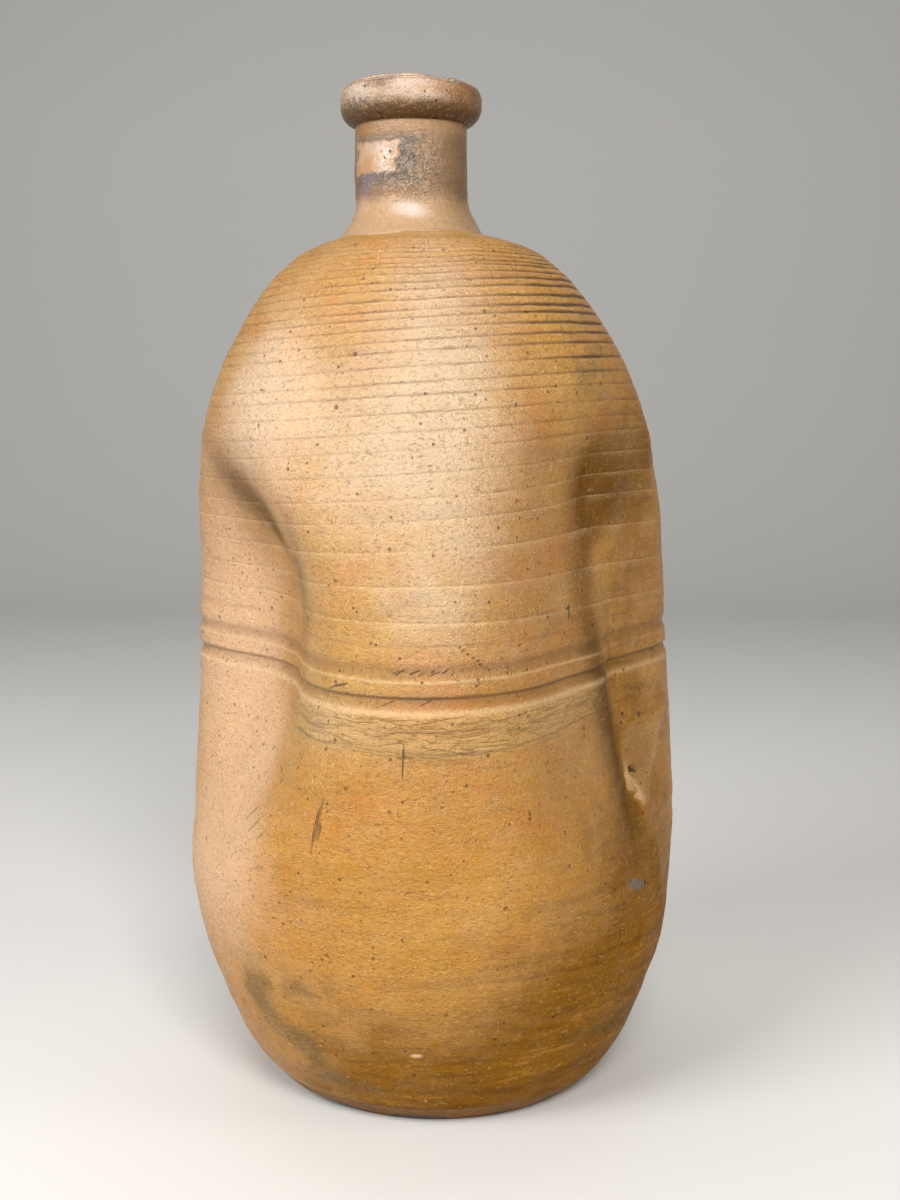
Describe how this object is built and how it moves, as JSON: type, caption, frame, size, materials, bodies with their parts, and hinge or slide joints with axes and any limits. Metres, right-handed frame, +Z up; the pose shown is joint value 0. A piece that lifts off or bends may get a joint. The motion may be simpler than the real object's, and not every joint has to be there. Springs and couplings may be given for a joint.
{
  "type": "sake bottle",
  "caption": "Tall unglazed stoneware sake bottle with hand-pressed dents, a short straight neck and a rolled rim for a stopper.",
  "frame": {"origin": "centre of the flat foot, on the surface that the bottle stands on", "axes": "+Z up through the bottle; the lobe between the two visible dents faces -Y; +X to the right"},
  "size_m": [0.1416, 0.1437, 0.2785],
  "materials": {
    "body_clay": "unglazed orange-tan fired clay with a soft sheen, fine pits and incised lines",
    "neck_clay": "unglazed grey-brown fired clay with a paler patch and a dark halo",
    "rim_clay": "unglazed reddish brown fired clay with dark specks, worn along the lip",
    "foot_clay": "dry unglazed brown clay, rough where the bottle stands"
  },
  "bodies": {
    "root": {"base": "foot_clay", "lower_wall": "body_clay", "upper_wall": "body_clay", "neck": "neck_clay", "rim": "rim_clay"}
  },
  "joints": []
}
